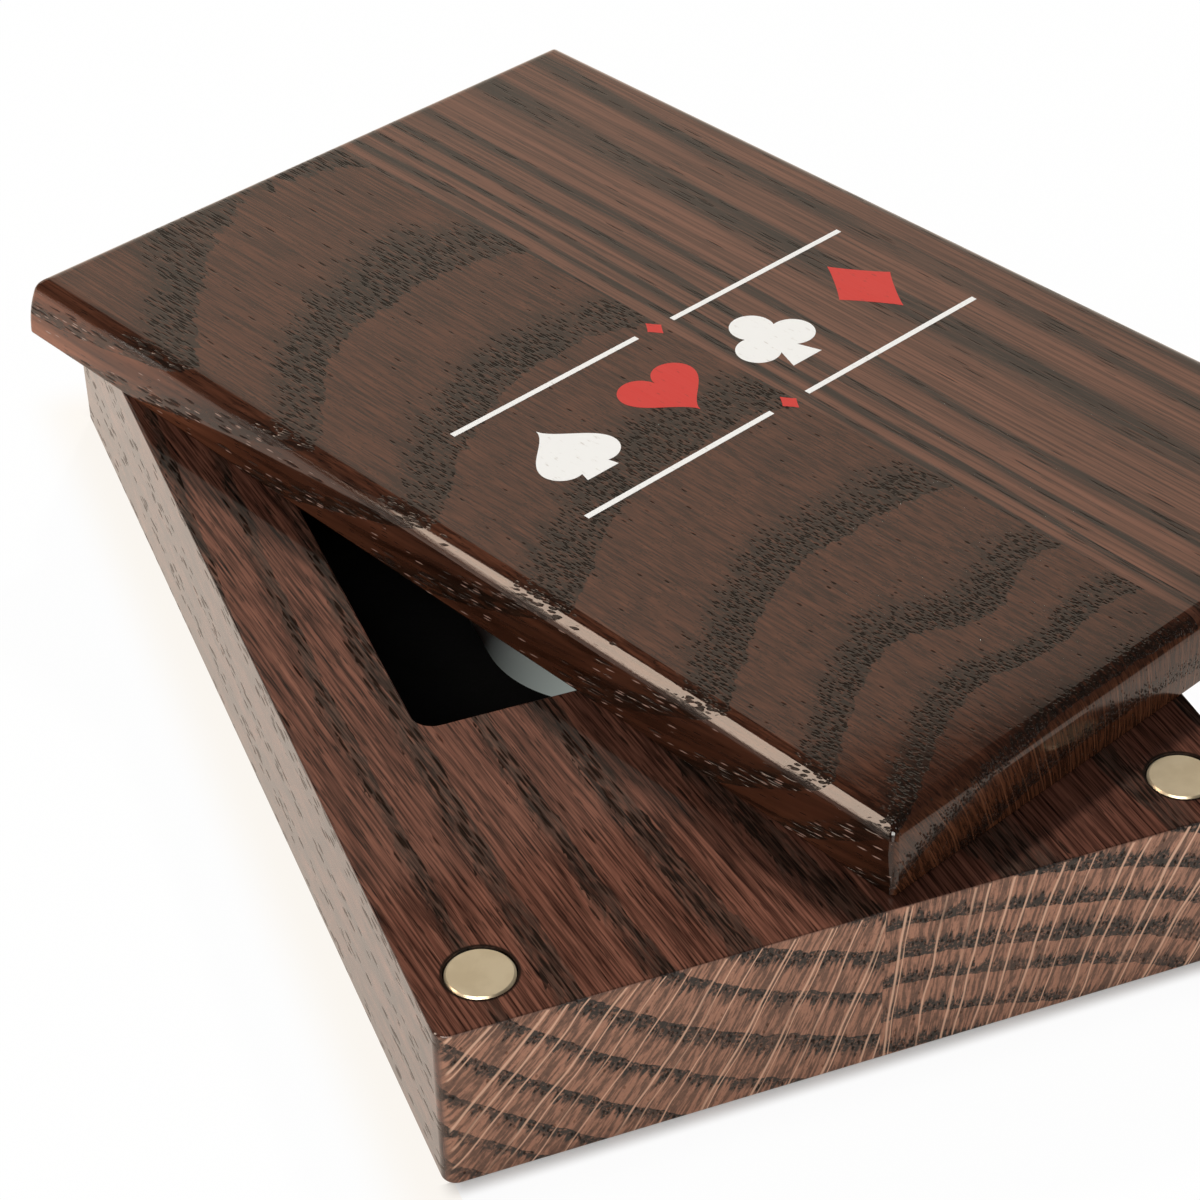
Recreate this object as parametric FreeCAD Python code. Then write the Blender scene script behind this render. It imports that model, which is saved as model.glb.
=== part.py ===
import FreeCAD, Part
import os
from math import sqrt

# A flat wooden box for one deck of playing cards: a base block with a milled pocket, and a loose lid
# plate of the same outline that disc magnets hold at the four corners.  Block and plate are each glued
# up from two boards.  The lid lies turned and shifted on the base, as it does when the box is half open.
#
# Frame: millimetres, origin at the centre of the base's underside, +X to the right seen from the near
# end, +Y along the grain towards the far end, +Z up.

# Deck of poker cards that the pocket holds
card_width = 63.5
card_length = 88.9
card_side_play = 1.0          # between the deck and each long wall of the pocket
card_end_play = 1.2           # between the deck and each end wall of the pocket

# Base block
base_width = 92.0
base_length = 149.5
base_height = 20.7
base_corner_radius = 1.6      # upright corners
base_arris = 0.35             # sanded edges, top, bottom and round the pocket's mouth
base_seam_offset = 1.5        # glue line, to the right of the centre line

# Pocket, across the block's centre line and towards its far end
pocket_far_wall = 13.25
pocket_floor = 3.5
pocket_corner_radius = 2.5
push_slot_width = 30.0        # round-ended opening in the floor, to push the deck out from below
push_slot_length = 63.0

# Felt on the pocket's floor
liner_thickness = 0.8
liner_side_gap = 0.15         # between the felt and the pocket's walls

# Disc magnets, flush in blind bores
magnet_diameter = 7.2
magnet_height = 3.0
magnet_chamfer = 0.25
magnet_bore_gap = 0.15        # glue line round the disc
magnet_side_inset = 7.0       # centre of the disc from the long side
magnet_end_inset = 7.2        # centre of the disc from the end

# Lid plate
lid_thickness = 8.0
lid_side_radius = 24.0        # the four sides are crowned: upright at the underside, leaning in above
lid_roundover = 2.4           # top edge
lid_corner_radius = 0.8       # upright corners
lid_arris = 0.3               # sanded edge of the underside
lid_seam_offset = 3.5         # glue line, to the right of the lid's centre line
lid_turn = 22.2               # degrees anticlockwise, seen from above
lid_shift_x = 17.2
lid_shift_y = 13.3

# Sizes that follow
lid_width = base_width
lid_length = base_length
pocket_width = card_width + 2 * card_side_play
pocket_length = card_length + 2 * card_end_play
pocket_y = base_length / 2 - pocket_far_wall - pocket_length / 2
UP = FreeCAD.Vector(0, 0, 1)
SAME_HEIGHT = 1e-6            # edges closer than this in height lie on one level


def rounded_rectangle(width, length, radius):
    """Face centred on the origin: straight sides joined by quarter circles, or by half circles where a
    side has no straight part left."""
    half_x = width / 2
    half_y = length / 2
    cut = radius * (1 - sqrt(0.5))
    corners = [(1, -1), (1, 1), (-1, 1), (-1, -1)]
    edges = []
    last = None
    first = None
    for sx, sy in corners:
        on_end = FreeCAD.Vector(sx * (half_x - radius), sy * half_y, 0)
        on_side = FreeCAD.Vector(sx * half_x, sy * (half_y - radius), 0)
        middle = FreeCAD.Vector(sx * (half_x - cut), sy * (half_y - cut), 0)
        start, stop = (on_end, on_side) if sx * sy < 0 else (on_side, on_end)
        if last is None:
            first = start
        elif last.distanceToPoint(start) > SAME_HEIGHT:
            edges.append(Part.LineSegment(last, start).toShape())
        edges.append(Part.Arc(start, middle, stop).toShape())
        last = stop
    if last.distanceToPoint(first) > SAME_HEIGHT:
        edges.append(Part.LineSegment(last, first).toShape())
    return Part.Face(Part.Wire(edges))


def plate(width, length, radius, bottom, top):
    """Upright prism on a rounded rectangle, from one height to another."""
    prism = rounded_rectangle(width, length, radius).extrude(UP * (top - bottom))
    prism.translate(UP * bottom)
    return prism


def edges_at(solid, height):
    """Edges that lie flat at one height."""
    return [e for e in solid.Edges if all(abs(v.Z - height) < SAME_HEIGHT for v in e.Vertexes)]


def corner_places(width, length):
    """Places of the four magnets: name, x and y."""
    x = width / 2 - magnet_side_inset
    y = length / 2 - magnet_end_inset
    ends = {"near": -y, "far": y}
    sides = {"left": -x, "right": x}
    return [(f"{end}_{side}", sides[side], ends[end]) for end in ends for side in sides]


def disc(radius, height, x, y, bottom):
    """Upright cylinder on a given bottom."""
    return Part.makeCylinder(radius, height, FreeCAD.Vector(x, y, bottom), UP)


def magnet(x, y, bottom):
    """Nickel-plated disc with chamfered rims."""
    blank = disc(magnet_diameter / 2, magnet_height, x, y, bottom)
    rims = edges_at(blank, bottom) + edges_at(blank, bottom + magnet_height)
    return blank.makeChamfer(magnet_chamfer, rims)


def bored(block, bottom):
    """The block with its four blind magnet bores cut, each as deep as a magnet is high."""
    radius = magnet_diameter / 2 + magnet_bore_gap
    for _, x, y in corner_places(base_width, base_length):
        block = block.cut(disc(radius, magnet_height, x, y, bottom))
    return block


def split_boards(block, seam_x):
    """The two boards of a glued block, left and right of its seam."""
    box = block.BoundBox
    corner = FreeCAD.Vector(box.XMin, box.YMin, box.ZMin)
    left_half = Part.makeBox(seam_x - box.XMin, box.YLength, box.ZLength, corner)
    return block.common(left_half), block.cut(left_half)


def base_block():
    """Glued block with its sanded edges, the pocket, the push-out slot and the magnet bores."""
    block = plate(base_width, base_length, base_corner_radius, 0, base_height)
    block = block.makeFillet(base_arris, edges_at(block, 0))
    pocket = plate(pocket_width, pocket_length, pocket_corner_radius, pocket_floor, base_height)
    block = block.cut(in_pocket_place(pocket))
    block = block.makeFillet(base_arris, edges_at(block, base_height))
    block = block.cut(in_pocket_place(push_slot(0, pocket_floor)))
    return bored(block, base_height - magnet_height)


def in_pocket_place(shape):
    """A shape that was made round the origin, moved to the middle of the pocket."""
    shape.translate(FreeCAD.Vector(0, pocket_y, 0))
    return shape


def push_slot(bottom, top):
    """Round-ended prism of the opening through the pocket's floor."""
    return plate(push_slot_width, push_slot_length, push_slot_width / 2, bottom, top)


def liner():
    """Felt sheet on the pocket's floor, open over the push-out slot."""
    width = pocket_width - 2 * liner_side_gap
    length = pocket_length - 2 * liner_side_gap
    radius = pocket_corner_radius - liner_side_gap
    top = pocket_floor + liner_thickness
    sheet = plate(width, length, radius, pocket_floor, top)
    return in_pocket_place(sheet.cut(push_slot(pocket_floor, top)))


def crowned_bar(width, length):
    """Bar along Y, as thick as the lid.  Each side is an arc of the large side radius, upright at the
    bottom, so the bar narrows a little towards its top."""

    def on_side(sign, z):
        lean = lid_side_radius - sqrt(lid_side_radius ** 2 - z ** 2)
        return FreeCAD.Vector(sign * (width / 2 - lean), -length / 2, z)

    left, right = [
        [on_side(sign, z) for z in (0, lid_thickness / 2, lid_thickness)] for sign in (-1, 1)
    ]
    outline = [
        Part.LineSegment(left[0], right[0]).toShape(),
        Part.Arc(*right).toShape(),
        Part.LineSegment(right[2], left[2]).toShape(),
        Part.Arc(*left).toShape(),
    ]
    return Part.Face(Part.Wire(outline)).extrude(FreeCAD.Vector(0, length, 0))


def lid_plate():
    """Glued lid plate with crowned sides and a rounded top edge, lying square on the base."""
    sides = crowned_bar(lid_width, lid_length + 2 * lid_thickness)
    ends = crowned_bar(lid_length, lid_width + 2 * lid_thickness)
    ends.rotate(FreeCAD.Vector(0, 0, 0), UP, 90)
    block = sides.common(ends)
    block = block.makeFillet(lid_roundover, edges_at(block, lid_thickness))
    corners = [e for e in block.Edges if rise(e) > lid_thickness / 2]
    block = block.makeFillet(lid_corner_radius, corners)
    block = block.makeFillet(lid_arris, edges_at(block, 0))
    block.translate(UP * base_height)
    return bored(block, base_height)


def rise(edge):
    """Height that an edge climbs from one end to the other."""
    heights = [v.Z for v in edge.Vertexes]
    return max(heights) - min(heights)


def opened(shape):
    """A lid piece turned and shifted with the whole lid, from square on the base to half open."""
    moved = shape.copy()
    moved.rotate(FreeCAD.Vector(0, 0, 0), UP, lid_turn)
    moved.translate(FreeCAD.Vector(lid_shift_x, lid_shift_y, 0))
    return moved


def build():
    """All nodes by name."""
    base_left, base_right = split_boards(base_block(), base_seam_offset)
    lid_left, lid_right = split_boards(lid_plate(), lid_seam_offset)
    nodes = {
        "base_left_board": base_left,
        "base_right_board": base_right,
        "pocket_liner": liner(),
        "lid_left_board": opened(lid_left),
        "lid_right_board": opened(lid_right),
    }
    for place, x, y in corner_places(base_width, base_length):
        nodes[f"base_magnet_{place}"] = magnet(x, y, base_height - magnet_height)
        nodes[f"lid_magnet_{place}"] = opened(magnet(x, y, base_height))
    return nodes


os.makedirs("parts", exist_ok=True)
for name, shape in build().items():
    solid = shape.Solids[0]
    solid.exportStep(f"parts/{name}.step")
    print(f"{name:24s} {len(shape.Solids)} solid, {solid.Volume:9.1f} mm3, valid {solid.isValid()}")
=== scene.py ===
"""Looks of a two-part wooden playing card box: a block with a milled pocket and a loose flat lid.

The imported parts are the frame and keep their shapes. This script gives each of them its finish, prints
a row of suit pips on the lid, and sets up the floor, the lamps and the camera.
"""

import math
from types import SimpleNamespace

import bmesh
import bpy
import numpy as np
from mathutils import Matrix, Vector

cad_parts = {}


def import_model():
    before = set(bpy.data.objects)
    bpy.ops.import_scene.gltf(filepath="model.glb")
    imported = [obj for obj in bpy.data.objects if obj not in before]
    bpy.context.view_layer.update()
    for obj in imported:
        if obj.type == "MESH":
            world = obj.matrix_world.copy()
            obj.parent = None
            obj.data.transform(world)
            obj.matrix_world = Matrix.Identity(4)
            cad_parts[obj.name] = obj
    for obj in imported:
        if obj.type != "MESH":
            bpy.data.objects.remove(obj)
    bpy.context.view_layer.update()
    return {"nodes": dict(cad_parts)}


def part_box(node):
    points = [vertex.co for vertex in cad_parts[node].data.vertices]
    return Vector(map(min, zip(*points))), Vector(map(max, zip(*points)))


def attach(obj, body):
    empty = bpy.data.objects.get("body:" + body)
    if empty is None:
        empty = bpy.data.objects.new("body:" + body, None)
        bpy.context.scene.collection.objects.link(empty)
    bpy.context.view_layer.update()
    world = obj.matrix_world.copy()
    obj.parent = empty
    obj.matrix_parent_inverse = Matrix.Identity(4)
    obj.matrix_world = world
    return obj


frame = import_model()
nodes = frame["nodes"]
MM = 0.001


# ---------------------------------------------------------------- places taken from the frame
def middle(node):
    """The middle of a CAD node's box, in metres."""
    low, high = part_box(node)
    return (low + high) / 2


lid_corners = {
    (end, side): middle(f"lid_magnet_{end}_{side}")
    for end in ("near", "far")
    for side in ("left", "right")
}
lid_middle = sum(lid_corners.values(), Vector()) / len(lid_corners)
lid_across = (lid_corners["near", "right"] - lid_corners["near", "left"]).normalized()
lid_along = (lid_corners["far", "left"] - lid_corners["near", "left"]).normalized()
lid_turn = math.atan2(lid_across.y, lid_across.x)
lid_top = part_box("lid_left_board")[1].z
lid_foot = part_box("lid_left_board")[0].z
magnet_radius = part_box("base_magnet_near_left")[1].x - middle("base_magnet_near_left").x


# ---------------------------------------------------------------- shader graphs
class Graph:
    """Short calls that add nodes to the tree of a material, a lamp or the world, and link them."""

    def __init__(self, tree):
        self.tree = tree

    def node(self, kind, inputs=None, out=0, **settings):
        """Adds one node. Inputs that are sockets are linked, and the others are set on the node."""
        made = self.tree.nodes.new("ShaderNode" + kind)
        for name, value in settings.items():
            setattr(made, name, value)
        for name, value in (inputs or {}).items():
            if isinstance(value, bpy.types.NodeSocket):
                self.tree.links.new(value, made.inputs[name])
            else:
                made.inputs[name].default_value = value
        return made.outputs[out]

    def math(self, operation, *values, clamp=False):
        """A sum, product or other operation on numbers."""
        return self.node("Math", dict(enumerate(values)), operation=operation, use_clamp=clamp)

    def vector(self, operation, *values):
        """The same on vectors."""
        out = "Value" if operation in ("DOT_PRODUCT", "LENGTH") else "Vector"
        return self.node("VectorMath", dict(enumerate(values)), out=out, operation=operation)

    def fade(self, value, low, high, to_low=0.0, to_high=1.0):
        """A smooth step: to_low where value is low, to_high where it is high."""
        names = {"Value": value, "From Min": low, "From Max": high, "To Min": to_low, "To Max": to_high}
        return self.node("MapRange", names, interpolation_type="SMOOTHSTEP")

    def split(self, vector):
        """The three components of a vector."""
        made = self.tree.nodes.new("ShaderNodeSeparateXYZ")
        self.tree.links.new(vector, made.inputs[0])
        return made.outputs

    def join(self, x, y, z):
        """A vector of three components."""
        return self.node("CombineXYZ", {0: x, 1: y, 2: z})

    def mix(self, share, first, second, blend="MIX"):
        """Two colours mixed by a share from 0 to 1."""
        made = self.tree.nodes.new("ShaderNodeMix")
        made.data_type = "RGBA"
        made.blend_type = blend
        for index, value in ((0, share), (6, first), (7, second)):
            if isinstance(value, bpy.types.NodeSocket):
                self.tree.links.new(value, made.inputs[index])
            else:
                made.inputs[index].default_value = value if index == 0 else (*value, 1.0)
        return made.outputs[2]

    def mix_values(self, share, first, second):
        """Two numbers mixed by a share from 0 to 1."""
        return self.node("MapRange", {"Value": share, "To Min": first, "To Max": second})

    def noise(self, place, size, detail, out=0):
        """Noise of detail octaves whose cells are size = (across, along, up) millimetres."""
        inputs = {"Vector": self.vector("DIVIDE", place, size), "Scale": 1.0, "Detail": detail}
        return self.node("TexNoise", inputs, out=out)

    def cells(self, place, size, out):
        """Voronoi cells of size = (across, along, up) millimetres."""
        inputs = {"Vector": self.vector("DIVIDE", place, size), "Scale": 1.0}
        return self.node("TexVoronoi", inputs, out=out)

    def about_zero(self, share):
        """A share from 0 to 1 moved so that it swings about zero."""
        return self.math("SUBTRACT", share, 0.5)

    def sway(self, place, size, detail):
        """A vector of noise that swings about zero."""
        return self.vector("SUBTRACT", self.noise(place, size, detail, out="Color"), (0.5, 0.5, 0.5))


def new_material(name):
    """A material with one Principled shader, its graph and the shader node."""
    material = bpy.data.materials.new(name)
    material.use_nodes = True
    shader = next(n for n in material.node_tree.nodes if n.type == "BSDF_PRINCIPLED")
    return material, Graph(material.node_tree), shader


def finish_with(g, shader, colour, roughness, height, relief, strength=1.0):
    """Links the colour, the roughness and a bump of relief metres to the shader."""
    bump = g.node("Bump", {"Height": height, "Distance": relief, "Strength": strength})
    for socket, value in (("Base Color", colour), ("Roughness", roughness), ("Normal", bump)):
        g.tree.links.new(value, shader.inputs[socket])


# ---------------------------------------------------------------- wood
# Kinds of face. The first two pairs are cosines of the angle between a face's normal and the grain, the
# others of that between the normal and the upright. The finish changes from the first value to the second.
END_FACES = (0.45, 0.85)
FLAT_END_FACES = (0.8, 0.97)
UPRIGHT_FACES = (0.3, 0.6)
LEVEL_FACES = (0.96, 0.999)

# Fibres and vessels on upright faces
SIDE_ACROSS = 0.4             # distances across there, by those elsewhere
SIDE_RISE = 0.25              # how much of the pith's rise they follow

# Growth rings
TEETH_ON_FACES = 0.4          # depth of the ragged teeth on long faces
TEETH_ON_ENDS = 1.1           # what the ends add to it
BAND_LEAST = 0.7              # width of the narrowest band, by the board's own
BAND_SPREAD = 0.6             # what the widest band adds to it
PATCH_SIZE = (12.0, 60.0, 12.0)
PATCH_EDGE = (0.3, 0.5)

# Small vessels, and painted glints: pale dashes painted into some small vessels on upright faces as
# highlights
SMALL_SIZE = 0.65             # their size by that of the large ones
SMALL_CORE = (0.2, 0.42)
SMALL_DEPTH = 0.75
SMALL_IN_BAND = 0.25          # how many more lie in the dark bands
PAINTED_GLINT_DEPTH = 0.8
PAINTED_GLINTS_OUTSIDE_BAND = 0.4     # share of the painted glints that lie outside the bands too

# Rays
RAY_SWAY_SIZE = (9.0, 9.0, 9.0)
RAY_SWAY = 1.2
RAY_LEAST = 0.5               # half width of the thinnest ray, by the board's ray width
RAY_SPREAD = 0.6
RAY_EDGE = (0.4, 1.2)
RAY_BREAK_SIZE = (0.8, 4.0, 14.0)
RAY_BREAK_EDGE = (0.25, 0.5)
RAY_BREAK_DEPTH = 0.25

# Fine texture, with the levels of noise between which each kind fades in
LINE_EDGE = (0.4, 0.6)
COMB_EDGE = (0.4, 0.62)
SPECK_EDGE = (0.48, 0.62)
DOT_SIZE = (0.3, 6.0, 0.3)
DOT_EDGE = (0.5, 0.64)
DOT_TONE = 0.6
CLOUD_SIZE = (14.0, 60.0, 14.0)

# Reaches along the board, in millimetres from its middle, over which its tone changes and the far sides'
# painted light sets in
NEAR_TO_FAR = (-70.0, 50.0)
NEAR_EDGE = (-74.0, -62.0)
FAR_SIDE_PAINTED_LIGHT = (32.0, 54.0)

# Painted shade: a dark ring round each bore's mouth, where the gap beside the magnet lies, in metres from
# the bore's middle
GAP_SHADE_REACH = magnet_radius + 0.3 * MM
GAP_SHADE_FADE = 0.25 * MM
GAP_SHADE_DEPTH = 0.9

# Lacquer
LACQUER_IOR = 1.5
FIBRE_ROUGHNESS = 0.04
FIBRE_HEIGHT = 0.06           # heights by the depth of a large vessel
RAY_HEIGHT = 0.1


def board_place(g, centre, turn):
    """Object coordinates turned into the board's own millimetres: across, along the grain, up."""
    return g.node(
        "Mapping",
        {
            "Vector": g.node("TexCoord", out="Object"),
            "Location": centre,
            "Rotation": (0, 0, turn),
            "Scale": (MM, MM, MM),
        },
        vector_type="TEXTURE",
    )


def bore_mouths(board_name):
    """The middles of the mouths of the magnets' bores in a board, in metres."""
    part, side = board_name.split("_")[:2]
    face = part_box(board_name)[1 if part == "base" else 0].z
    discs = [middle(f"{part}_magnet_{end}_{side}") for end in ("near", "far")]
    return [(disc.x, disc.y, face) for disc in discs]


def lie_of_board(g, board):
    """Where a point lies in the board and in the tree.

    The pith line passes x = x0 + lean_x y and z = z0 + lean_z y + bend y^2. The radius is the distance from
    it, and around is the way round it at the board's mean radius. All are in millimetres, and noise sways
    them slightly.
    """
    seed = board["seed"]
    place = board_place(g, board["centre"], board["turn"])
    shifted = g.vector("ADD", place, (seed, seed * 1.7, seed * 2.3))
    sway = g.sway(shifted, board["sway_size"], 1.5)
    x, y, z = g.split(g.vector("MULTIPLY_ADD", sway, board["sway"], place))
    lean_x, lean_z = board["lean"]
    pith_x, pith_z = board["pith"]
    rise = g.math("MULTIPLY_ADD", y, lean_z, g.math("MULTIPLY", g.math("MULTIPLY", y, y), board["bend"]))
    from_pith_x = g.math("SUBTRACT", x, g.math("MULTIPLY_ADD", y, lean_x, pith_x))
    from_pith_z = g.math("SUBTRACT", g.math("SUBTRACT", z, rise), pith_z)
    radius = g.vector("LENGTH", g.join(from_pith_x, 0.0, from_pith_z))
    side = 1.0 if pith_z < 0 else -1.0
    angle = g.math("ARCTAN2", from_pith_x, g.math("MULTIPLY", from_pith_z, side))
    around = g.math("MULTIPLY", angle, board["mean_radius"])
    plain_x, plain_y, plain_z = g.split(place)
    return SimpleNamespace(
        x=plain_x, y=plain_y, z=plain_z, shifted=shifted, pith_rise=rise, radius=radius, around=around,
        grain=g.join(g.math("ADD", around, seed), y, radius),
    )


def faces_of_board(g, board):
    """Shares from 0 to 1 that tell ends, flat ends, upright faces along the grain and level faces apart."""
    normal = g.node("TexCoord", out="Normal")
    along = (-math.sin(board["turn"]), math.cos(board["turn"]), 0.0)
    endwise = g.math("ABSOLUTE", g.vector("DOT_PRODUCT", normal, along))
    up = g.math("ABSOLUTE", g.split(normal)[2])
    ends = g.fade(endwise, *END_FACES)
    return SimpleNamespace(
        ends=ends,
        flat_ends=g.fade(endwise, *FLAT_END_FACES),
        upright=g.math("MULTIPLY", g.fade(up, *UPRIGHT_FACES, 1.0, 0.0), g.math("SUBTRACT", 1.0, ends)),
        level=g.fade(up, *LEVEL_FACES),
    )


def fibre_places(g, board, lie, faces):
    """Places whose second axis runs along the fibres and along the vessels.

    Both lean by run_x and run_z more than the pith does, so a face that they run along shows long dashes
    and one that cuts them at a slant shows short ones. On upright faces they lie nearly along the edge,
    look wider across, and the vessels are shorter.
    """
    run_x, run_z = board["run"]
    across = g.math("MULTIPLY_ADD", lie.y, -run_x, lie.x)
    across = g.math("MULTIPLY", across, g.mix_values(faces.upright, 1.0, SIDE_ACROSS))
    across = g.math("ADD", across, board["seed"])
    standing = g.math("GREATER_THAN", faces.upright, 0.5)
    rise = g.math("MULTIPLY", lie.pith_rise, g.mix_values(standing, 1.0, SIDE_RISE))
    up = g.math("MULTIPLY_ADD", lie.y, -run_z, g.math("SUBTRACT", lie.z, rise))
    shortened = g.math("MULTIPLY", lie.y, g.mix_values(standing, 1.0, board["side_dashes"]))
    return g.join(across, lie.y, up), g.join(across, shortened, up)


def count_rings(g, radius, starts):
    """The ring number: it grows by one from each listed radius to the next."""
    count = 0.0
    for inner, outer in zip(starts, starts[1:]):
        step = g.node("MapRange", {"Value": radius, "From Min": inner, "From Max": outer})
        count = g.math("ADD", count, step)
    return count


def porous_bands(g, board, lie, faces):
    """The share of dark porous wood.

    Each ring starts with a band of it at once and sheds it outwards in ragged teeth. Each has its own width
    of band, and a dip shifts the rings by dip_depth about dip_centre.
    """
    steps = g.noise(lie.grain, board["step_size"], 2.0)
    dip_centre, dip_size, dip_depth = board["dip"]
    off_dip = g.vector("DIVIDE", g.vector("SUBTRACT", g.join(lie.x, lie.y, 0.0), dip_centre), dip_size)
    dip = g.math("MULTIPLY", g.fade(g.vector("LENGTH", off_dip), 0.0, 1.0, 1.0, 0.0), dip_depth)
    dipped = g.math("ADD", lie.radius, dip)
    uneven = g.math("MULTIPLY_ADD", g.about_zero(steps), board["jagged"], dipped)
    count = count_rings(g, uneven, board["starts"])
    season = g.math("FRACT", count)
    year = g.math("FLOOR", g.math("ADD", count, board["seed"]))
    year = g.node("TexWhiteNoise", {"W": year}, noise_dimensions="1D")
    teeth = g.noise(lie.grain, board["tooth_size"], 1.5)
    depth = board["teeth"]
    bite = g.math("MULTIPLY_ADD", faces.ends, -depth * TEETH_ON_ENDS, -depth * TEETH_ON_FACES)
    late = g.math("MULTIPLY_ADD", g.about_zero(teeth), bite, season)
    width = g.math("MULTIPLY_ADD", year, board["band"] * BAND_SPREAD, board["band"] * BAND_LEAST)
    width = g.math("MULTIPLY", width, g.mix_values(faces.ends, board["long_band"], 1.0))
    width = g.math("MULTIPLY", width, g.mix_values(faces.upright, 1.0, board["side_band"]))
    past = g.math("DIVIDE", g.math("SUBTRACT", late, width), board["fade"])
    band = g.math("MULTIPLY", g.fade(season, 0.0, board["onset"]), g.fade(past, 0.0, 1.0, 1.0, 0.0))
    patches = g.noise(lie.shifted, PATCH_SIZE, 1.5)
    return g.math("MULTIPLY", band, g.fade(patches, *PATCH_EDGE, 1.0 - board["patchy"], 1.0))


def vessels(g, board, place, faces, band):
    """Open vessels as long cells: large ones crowd in the porous band, small ones lie everywhere.

    Returns the large ones, both kinds together, and painted glints: small ones on upright faces painted
    pale as highlights, each as a share from 0 to 1.
    """
    large_near = g.cells(place, board["vessel"], "Distance")
    large_kind = g.split(g.cells(place, board["vessel"], "Color"))[0]
    crowd_level = g.math("MULTIPLY", band, band)
    crowd_side = g.math("MULTIPLY", band, board["side_crowd"])
    crowd = g.mix_values(faces.upright, crowd_level, crowd_side)
    large_share = g.math("MULTIPLY_ADD", crowd, board["crowd"], board["sparse"])
    large_here = g.math("LESS_THAN", large_kind, large_share)
    large = g.math("MULTIPLY", g.fade(large_near, *board["core"], 1.0, 0.0), large_here)
    small_size = tuple(size * SMALL_SIZE for size in board["vessel"])
    small_near = g.cells(place, small_size, "Distance")
    small_kind = g.split(g.cells(place, small_size, "Color"))[1]
    small_share = g.math("MULTIPLY_ADD", band, SMALL_IN_BAND, board["small"])
    small_here = g.math("LESS_THAN", small_kind, small_share)
    small = g.math("MULTIPLY", g.fade(small_near, *SMALL_CORE, SMALL_DEPTH, 0.0), small_here)
    painted_glint_share = g.math("MULTIPLY_ADD", band, board["painted_glints"], board["painted_glints"] * PAINTED_GLINTS_OUTSIDE_BAND)
    painted_glints = g.math("LESS_THAN", small_kind, painted_glint_share)
    painted_glints = g.math("MULTIPLY", painted_glints, g.fade(small_near, *SMALL_CORE, PAINTED_GLINT_DEPTH, 0.0))
    return large, g.math("MAXIMUM", large, small), g.math("MULTIPLY", painted_glints, faces.upright)


def end_rays(g, board, lie, faces):
    """Thin sheets through the pith line, here and there broken, that show on the flat ends alone."""
    line = g.math("MULTIPLY_ADD", g.noise(lie.grain, RAY_SWAY_SIZE, 1.0), RAY_SWAY, lie.around)
    ray = {"W": g.math("DIVIDE", line, board["ray_gap"]), "Scale": 1.0}
    near = g.node("TexVoronoi", ray, voronoi_dimensions="1D", out="Distance")
    kind = g.split(g.node("TexVoronoi", ray, voronoi_dimensions="1D", out="Color"))[0]
    width = board["ray_width"]
    half = g.math("MULTIPLY_ADD", kind, width * RAY_SPREAD, width * RAY_LEAST)
    core = g.fade(g.math("DIVIDE", near, half), *RAY_EDGE, 1.0, 0.0)
    breaks = g.fade(g.noise(lie.grain, RAY_BREAK_SIZE, 1.0), *RAY_BREAK_EDGE, RAY_BREAK_DEPTH, 1.0)
    return g.math("MULTIPLY", g.math("MULTIPLY", core, breaks), faces.flat_ends)


def fine_tone(g, board, lie, faces, place, fibre, dots):
    """A factor about one for the tone.

    On long faces it follows fibres and long fine lines, on ends dots and the combing between the rays, and
    slow clouds pass over both. The near part and a strip beside the near end are darker, and painted light
    brightens the far part of the upright faces in place of light bounced from the floor.
    """
    line = g.fade(g.noise(place, board["line_size"], 1.5), *LINE_EDGE, 0.5, -0.5)
    comb = g.fade(g.noise(lie.grain, board["comb_size"], 2.0), *COMB_EDGE, -0.5, 0.5)
    cloud = g.noise(lie.shifted, CLOUD_SIZE, 2.0)
    on_face = g.math("MULTIPLY", g.about_zero(fibre), board["fibre_depth"])
    on_face = g.math("MULTIPLY_ADD", line, board["lines"], on_face)
    combed = g.math("MULTIPLY", comb, board["comb"])
    on_end = g.math("MULTIPLY_ADD", g.about_zero(dots), DOT_TONE, combed)
    fine = g.math("ADD", g.mix_values(faces.ends, on_face, on_end), 1.0)
    fine = g.math("MULTIPLY_ADD", g.about_zero(cloud), board["clouds"], fine)
    near, far = NEAR_TO_FAR
    reach = {"Value": lie.y, "From Min": near, "From Max": far, "To Min": board["near_tone"], "To Max": 1.0}
    fine = g.math("MULTIPLY", fine, g.node("MapRange", reach))
    near_edge = g.fade(lie.y, *NEAR_EDGE, board["edge_tone"], 1.0)
    fine = g.math("MULTIPLY", fine, g.mix_values(faces.ends, near_edge, 1.0))
    # painted light: the far part of the upright faces is brightened in place of the floor's bounce light
    painted_far_light = g.fade(lie.y, *FAR_SIDE_PAINTED_LIGHT, 1.0, board["far_side_painted_light"])
    return g.math("MULTIPLY", fine, g.mix_values(faces.upright, 1.0, painted_far_light))


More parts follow.
